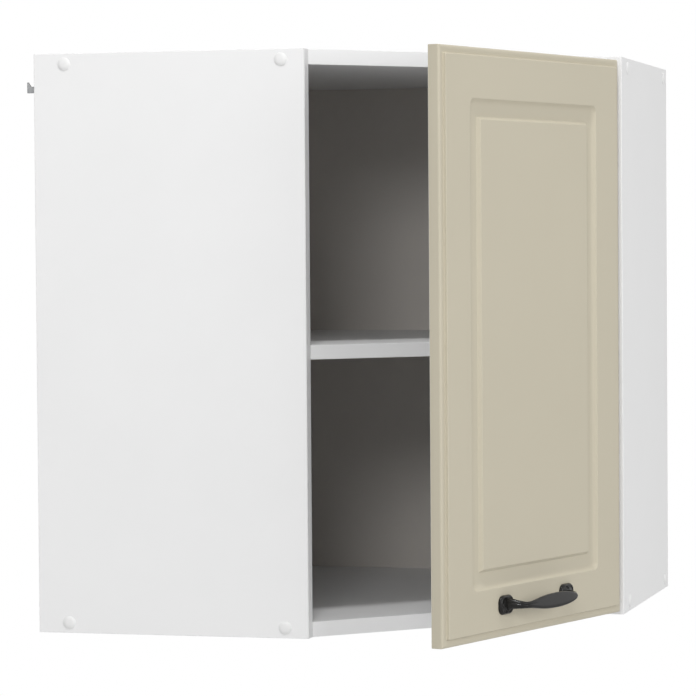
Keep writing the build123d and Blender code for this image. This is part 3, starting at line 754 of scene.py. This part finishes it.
def flat_with_holes(outline, holes):
    """Points and triangles of a flat outline with holes in it, all in two dimensions."""
    loops = [outline] + holes
    points = np.concatenate(loops)
    edges, start = [], 0
    for loop in loops:
        index = start + np.arange(len(loop))
        edges += list(zip(index.tolist(), np.roll(index, -1).tolist()))
        start += len(loop)
    whole_hull = 0
    merge_distance = 1e-7
    given = [Vector(point) for point in points]
    found = delaunay_2d_cdt(given, edges, [], whole_hull, merge_distance)
    found_points, found_faces = found[0], found[2]
    flat = np.array([tuple(point) for point in found_points])
    faces = []
    for face in found_faces:
        middle = flat[list(face)].mean(axis=0)
        if not any(inside(middle, hole) for hole in holes) and inside(middle, outline):
            faces.append(list(face))
    return flat, faces


def inside(point, loop):
    """Whether a point is inside a loop: a ray from it crosses the loop an odd number of times."""
    start, end = loop, np.roll(loop, -1, axis=0)
    above = (start[:, 1] > point[1]) != (end[:, 1] > point[1])
    rise = np.where(above, end[:, 1] - start[:, 1], 1)
    crossing = start[:, 0] + (point[1] - start[:, 1]) / rise * (end[:, 0] - start[:, 0])
    return bool((above & (crossing > point[0])).sum() % 2)


def make_door(finish):
    """Door skin, its flat back and the two bores for the hinge cups."""
    rings = door_rings()
    skin = shell(rings, close_first=False)
    turn = np.linspace(0, 2 * math.pi, 64, endpoint=False)
    holes, bores = [], []
    for height in (cup_height, door_height - cup_height):
        circle = np.stack(
            [cup_inset + cup_radius * np.cos(turn), height + cup_radius * np.sin(turn)], axis=1
        )
        holes.append(circle)
        depths = [0, hold, cup_depth - hold, cup_depth]
        bore = np.stack([np.insert(circle, 1, depth, axis=1) for depth in depths])
        bores.append(shell(bore, close_first=False))
    flat, faces = flat_with_holes(rings[0][:, [0, 2]], holes)
    back = (np.insert(flat, 1, 0, axis=1), faces)
    shells = [(on_door(points), faces) for points, faces in [skin, back] + bores]
    stand_in(piece("framed_door", shells, finish, smooth_below=50.0), "door_panel")


# Handle


def smooth_line(points, count):
    """Smooth curve through rows of values, at evenly spaced steps of its rows.

    Between two rows it is a cubic, whose slope at a row is half the step between that row's
    neighbours.
    """
    points = np.asarray(points, float)
    padded = np.concatenate([2 * points[:1] - points[1:2], points, 2 * points[-1:] - points[-2:-1]])
    steps = np.linspace(0, len(points) - 1, count)
    row = np.minimum(steps.astype(int), len(points) - 2)
    part = (steps - row)[:, None]
    before, start, end, after = (padded[row + offset] for offset in range(4))
    return 0.5 * (
        2 * start
        + (end - before) * part
        + (2 * before - 5 * start + 4 * end - after) * part**2
        + (3 * start - before - 3 * end + after) * part**3
    )


def bar_rings(stations, squareness, furrow):
    """Rings of a bar along stations: along the door, outwards, half height, half thickness, lift.

    A section is a superellipse across the path: its exponent is the squareness at that station,
    and a furrow of the given depth, a bell curve in section, runs along its outer face.
    """
    path = stations[:, :2]
    run = np.gradient(path, axis=0)
    run /= np.linalg.norm(run, axis=1, keepdims=True)
    outward = np.stack([run[:, 1], -run[:, 0]], axis=1)
    turn = np.linspace(0, 2 * math.pi, 56, endpoint=False)
    power = 2 / squareness[:, None]
    across = np.sign(np.sin(turn)) * np.abs(np.sin(turn)) ** power
    outer = np.sign(np.cos(turn)) * np.abs(np.cos(turn)) ** power
    bell = np.exp(-(((across - furrow_place) / furrow_width) ** 2))
    dent = furrow[:, None] * bell * (outer > 0)
    out = stations[:, 3, None] * outer - dent
    up = stations[:, 2, None] * across + stations[:, 4, None]
    place = path[:, None] + out[..., None] * outward[:, None]
    return np.concatenate([place, handle_height + up[..., None]], axis=2)[:, ::-1]


def grip_rings():
    """The grip: a furrowed neck that rises from its foot, then a leaf with an elliptic tip."""
    stations = np.concatenate([neck_stations(), leaf_stations()])
    share = np.clip((stations[:, 1] - blend_height) / blend_rise, 0, 1)
    past_neck = (neck_foot - stations[:, 0] - blend_start) / blend_length
    on_leaf = np.clip(past_neck, 0, 1) * share
    squareness = neck_squareness + leaf_gain * on_leaf
    furrow = furrow_depth * (1 - on_leaf) ** 2
    return bar_rings(stations, squareness, furrow)


def neck_stations():
    """Stations of the neck and on to the leaf's crown, on a smooth curve through a few rows.

    A row gives, in millimetres, the place along the door from the foot, the place out from the
    door's back, half the height, half the thickness, and how far the section is lifted.
    """
    rows = [
        (0.2, 17.0, 6.6, 4.2, 1.2),
        (0.0, 20.6, 6.3, 3.9, 1.3),
        (-0.6, 25.0, 5.5, 3.5, 1.3),
        (-1.8, 30.0, 4.6, 3.1, 0.9),
        (-4.0, 34.6, 3.9, 2.8, 0.4),
        (-7.6, 38.0, 3.4, 2.4, 0.1),
        (-12.5, 39.6, 3.6, 2.1, 0),
        (-20.0, 40.0, 4.45, 2.0, 0),
        (-28.0, 40.0, 5.4, 2.0, 0),
        (-38.0, 40.0, 6.6, 2.0, 0),
        (-50.0, 40.0, 7.5, 2.0, 0),
        (-65.5, 40.0, 7.9, 2.0, 0),
    ]
    stations = smooth_line(rows, 90) * MM
    stations[:, 0] += neck_foot
    return stations


def leaf_stations():
    """Stations from the leaf's crown to its tip: its outline is a quarter of an ellipse."""
    turn = np.linspace(0, math.pi / 2 - 0.04, 40)[1:]
    return np.stack(
        [
            leaf_crown - leaf_length * np.sin(turn),
            np.full(len(turn), grip_middle),
            leaf_half_height * np.cos(turn),
            leaf_half_thickness * np.cos(turn) ** 0.4,
            np.zeros(len(turn)),
        ],
        axis=1,
    )


def leaf_post_rings():
    """The post under the leaf, from its foot to the leaf's underside, in rows like the neck's."""
    rows = [
        (0.0, 17.0, 3.6, 3.9, 0),
        (0.2, 20.6, 3.4, 3.7, 0),
        (1.4, 25.0, 3.1, 3.4, 0),
        (5.0, 29.6, 3.0, 3.0, 0),
        (11.5, 33.8, 3.0, 2.7, 0),
        (19.5, 37.2, 2.9, 2.4, 0),
        (27.0, 39.4, 2.7, 1.6, 0),
    ]
    stations = smooth_line(rows, 40) * MM
    stations[:, 0] += leaf_foot
    squareness = np.full(len(stations), post_squareness)
    return bar_rings(stations, squareness, np.zeros(len(stations)))


def boss_rings(foot):
    """Rings of a boss: a rectangle with large round corners carried up a stepped profile.

    A row gives the share of the outline and the height above the door's face, in millimetres.
    """
    profile = [
        (0.99, 0.0),
        (1.0, 0.3),
        (1.0, 1.5),
        (0.985, 2.0),
        (0.94, 2.9),
        (0.89, 3.6),
        (0.83, 3.95),
        (0.77, 3.9),
        (0.71, 3.5),
        (0.63, 3.45),
        (0.50, 3.9),
        (0.34, 4.35),
        (0.18, 4.5),
        (0.03, 4.55),
    ]
    half_width, half_height = boss_half
    corners = [
        (half_width, -half_height),
        (half_width, half_height),
        (-half_width, half_height),
        (-half_width, -half_height),
    ]
    outline = rounded_outline(corners, boss_corner, steps=12)
    rings = []
    for scale, rise in profile:
        flat = outline * scale
        depth = np.full(len(flat), door_thickness + rise * MM)
        rings.append(np.stack([foot + flat[:, 0], depth, handle_height + flat[:, 1]], axis=1))
    return np.stack(rings)[:, ::-1]


def bead_rings(along, up):
    """A bead on a boss: a small dome that starts below the boss's face."""
    turn = np.linspace(0, math.pi / 2 - 0.1, 9)
    profile = bead_radius * np.stack([np.cos(turn), np.sin(turn)], axis=1)
    profile = np.concatenate([[[bead_radius, -bead_root]], profile])
    rings = circle_rings(profile, count=24)
    base = door_thickness + bead_base
    placed = np.stack([along + rings[..., 0], base + rings[..., 2], up + rings[..., 1]], axis=2)
    return placed[:, ::-1]


def make_handle(finish):
    """Cast bow handle: grip, post, two bosses and the beads on them."""
    rings = [grip_rings(), leaf_post_rings()]
    for foot in (leaf_foot, neck_foot):
        rings.append(boss_rings(foot))
        for along, up in ((-1, 0), (1, 0), (0, -1), (0, 1)):
            place = (foot + along * bead_reach[0], handle_height + up * bead_reach[1])
            rings.append(bead_rings(*place))
    shells = [shell(ring) for ring in rings]
    shells = [(on_door(points), faces) for points, faces in shells]
    stand_in(piece("bow_handle", shells, finish, smooth_below=45.0), "handle")


# Small fittings


def cap_profile():
    """Low dome with a soft rim: its height falls with the third power of the radius."""
    share = np.linspace(1, 0.04, 14)
    rise = cap_rim + (cap_height - cap_rim) * (1 - share**3.0)
    dome = np.stack([cap_radius * share, rise], axis=1)
    foot = [[cap_radius * 0.3, -cap_plug], [cap_radius * 0.99, 0], [cap_radius, cap_foot]]
    return np.concatenate([foot, dome])


def make_caps(name, axis, finish):
    """Domed caps over the panel screws, all on one face."""
    axes = axes_along(axis)
    shells = []
    for middle, _, high, _ in fastener_places(name, axis):
        rings = circle_rings(cap_profile()) + [*middle, high - cap_height]
        points, faces = shell(rings)
        shells.append((points @ axes, faces))
    stand_in(piece(name + "_domed", shells, finish), name)


def screw_profile(radius, rise, shank_radius, length):
    """A screw's profile from its tip up: shank, underside of the head, and a parabolic dome."""
    share = np.linspace(1, 0.03, 16)
    height = rise * (head_edge + head_crown * (1 - share**2))
    dome = np.stack([radius * share, height], axis=1)
    tip = [[shank_radius * 0.2, -length], [shank_radius, -length + shank_radius]]
    head = [[shank_radius, 0], [radius * 0.97, 0], [radius, rise * 0.15]]
    return np.concatenate([tip, head, dome])


def cut_recess(rings, rise, recess):
    """Sink a cross into the head: full depth inside a four-armed star, less at its walls."""
    across, along = np.abs(rings[..., 0]), np.abs(rings[..., 1])
    arm = recess * recess_arm
    outside = np.maximum(np.minimum(across, along) - arm, np.maximum(across, along) - recess)
    share = np.clip(-outside / (recess_wall * arm), 0, 1)
    on_head = rings[..., 2] > rise * 0.5
    rings[..., 2] -= on_head * share * min(rise * recess_part, recess_depth)


def make_screws(name, axis, size, finish):
    """Screws with cross recesses where a node has its plain ones."""
    rise, shank_radius = size
    axes = axes_along(axis)
    shells = []
    for middle, low, high, radius in fastener_places(name, axis):
        profile = screw_profile(radius, rise, shank_radius, high - low - rise)
        rings = circle_rings(profile, count=64)
        cut_recess(rings, rise, radius * recess_share)
        points, faces = shell(rings + [*middle, high - rise])
        shells.append((points @ axes, faces))
    stand_in(piece(name + "_crosshead", shells, finish), name)


def make_hook(name, side, finish):
    """Bent steel hook with an upturned tooth and a valley in front of it, edges dulled."""
    low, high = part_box(name)
    if side == "left":
        reach, tail, near, far = -low.x, high.x, low.y, high.y
    else:
        reach, tail, near, far = high.y, -low.y, low.x, high.x
    arm = low.z + hook_arm
    outline = [
        (-reach, low.z),
        (tail, low.z),
        (tail, arm),
        (-reach + hook_valley, arm),
        (-reach + hook_tooth_root, arm - hook_valley_depth),
        (-reach + hook_tooth_tip, high.z),
        (-reach, high.z),
    ]
    half = (far - near) / 2
    rings = slab_rings(outline, hook_corner, -half, half, hook_edge)
    from_wall, up, across = rings[..., 0], rings[..., 1], (near + far) / 2 - rings[..., 2]
    columns = [from_wall, across, up] if side == "left" else [across, -from_wall, up]
    placed = np.stack(columns, axis=2)
    stand_in(piece(name + "_bent", [shell(placed)], finish), name)


# Stage


def set_camera():
    """Camera at an azimuth, elevation and distance from the point that it aims at."""
    azimuth = math.radians(camera_azimuth)
    elevation = math.radians(camera_elevation)
    level_part = math.cos(elevation)
    away = Vector(
        (math.sin(azimuth) * level_part, -math.cos(azimuth) * level_part, math.sin(elevation))
    )
    data = bpy.data.cameras.new("camera")
    data.lens = camera_lens
    data.sensor_width = camera_sensor
    data.clip_end = camera_far_end
    camera = bpy.data.objects.new("camera", data)
    bpy.context.scene.collection.objects.link(camera)
    level = away.to_track_quat("Z", "Y").to_matrix().to_4x4()
    roll = Matrix.Rotation(-math.radians(camera_roll), 4, "Z")
    place = Matrix.Translation(Vector(camera_aim) + away * camera_distance)
    camera.matrix_world = place @ level @ roll
    bpy.context.scene.camera = camera


def set_world():
    """White room: full white to the eye and in reflections, and the plain level as light."""
    world = bpy.data.worlds.new("white_room")
    bpy.context.scene.world = world
    world.use_nodes = True
    tree = world.node_tree
    path = node(tree, "ShaderNodeLightPath", output="Is Camera Ray")
    outputs = path.socket.node.outputs
    eye = path.math("MAXIMUM", Socket(tree, outputs["Is Glossy Ray"]))
    eye = eye.math("MAXIMUM", Socket(tree, outputs["Is Transmission Ray"]))
    strength = world_light + eye * (1.0 - world_light)
    background = tree.nodes["Background"]
    background.inputs["Color"].default_value = (1, 1, 1, 1)
    tree.links.new(strength.socket, background.inputs["Strength"])


def soft_box(name, place, size, power):
    """Square area light that points at what the camera aims at."""
    data = bpy.data.lights.new(name, "AREA")
    data.size = size
    data.energy = power
    lamp = bpy.data.objects.new(name, data)
    bpy.context.scene.collection.objects.link(lamp)
    aim = Vector(camera_aim) - Vector(place)
    turn = aim.to_track_quat("-Z", "Y").to_matrix().to_4x4()
    lamp.matrix_world = Matrix.Translation(place) @ turn


def lay_floor():
    """Pale floor of the room, below the hung cabinet."""
    half = floor_size / 2
    corners = [(-half, -half), (half, -half), (half, half), (-half, half)]
    mesh = bpy.data.meshes.new("floor")
    mesh.from_pydata([(x, y, floor_depth) for x, y in corners], [], [(0, 1, 2, 3)])
    floor = bpy.data.objects.new("floor", mesh)
    bpy.context.scene.collection.objects.link(floor)
    finish = Finish("floor_white")
    clouds = finish.noise(0.4)
    colour = finish.mix(clouds, (0.84, 0.84, 0.84, 1), (0.88, 0.88, 0.88, 1))
    seen = node(finish.tree, "ShaderNodeLightPath", output="Is Camera Ray")
    lift = finish.mix(seen, (0, 0, 0, 1), (floor_lift, floor_lift, floor_lift, 1))
    floor_finish = finish.done(Base_Color=colour, Roughness=0.7, Emission_Color=lift)
    finish.shader.inputs["Emission Strength"].default_value = 1.0
    mesh.materials.append(floor_finish)


set_camera()
set_world()
soft_box("front_box", front_box_place, front_box_size, front_box_power)
soft_box("top_box", top_box_place, top_box_size, top_box_power)
soft_box("left_box", left_box_place, left_box_size, left_box_power)
soft_box("side_box", side_box_place, side_box_size, side_box_power)
lay_floor()

zinc = plated("zinc_steel", linear(190, 192, 195), linear(165, 168, 172), 0.32, 0.5 * MM)
dull_zinc = plated("dull_zinc", linear(162, 163, 164), linear(128, 130, 132), 0.42, 0.5 * MM)
nickel = plated("nickel_plate", linear(205, 200, 192), linear(190, 186, 178), 0.16, 0.4 * MM)
plastic = white_plastic()
make_boards()
dress(back_board("hardboard_left", outside_of_left), "left_back_panel")
dress(back_board("hardboard_right", outside_of_right), "right_back_panel")
make_door(door_foil())
make_handle(handle_metal())
dress(soft_plastic(), "door_bumpers")
make_caps("left_screw_caps", (0, -1, 0), plastic)
make_caps("right_screw_caps", (1, 0, 0), plastic)
dress(plastic, "left_hanger_housing", "right_hanger_housing")
make_hook("left_hanger_hook", "left", dull_zinc)
make_hook("right_hanger_hook", "right", dull_zinc)
make_screws("left_hanger_screws", (0, 1, 0), hanger_screw, zinc)
make_screws("right_hanger_screws", (-1, 0, 0), hanger_screw, zinc)
make_screws("handle_screws", -door_axes[1], handle_screw, zinc)
for level in ("lower", "upper"):
    hinge = level + "_hinge_"
    make_screws(hinge + "cup_screws", -door_axes[1], hinge_screw, nickel)
    make_screws(hinge + "arm_screws", (-1, 0, 0), hinge_screw, nickel)
    make_screws(hinge + "plate_screws", (-1, 0, 0), hinge_screw, nickel)
metals = {"zinc_steel": zinc, "hinge_nickel": nickel}
for part in frame["record"]["subparts"]:
    still_shown = not frame["nodes"][part["node"]].hide_render
    if still_shown and part["material_slot"] in metals:
        dress(metals[part["material_slot"]], part["node"])

bpy.context.scene.view_settings.view_transform = "Standard"
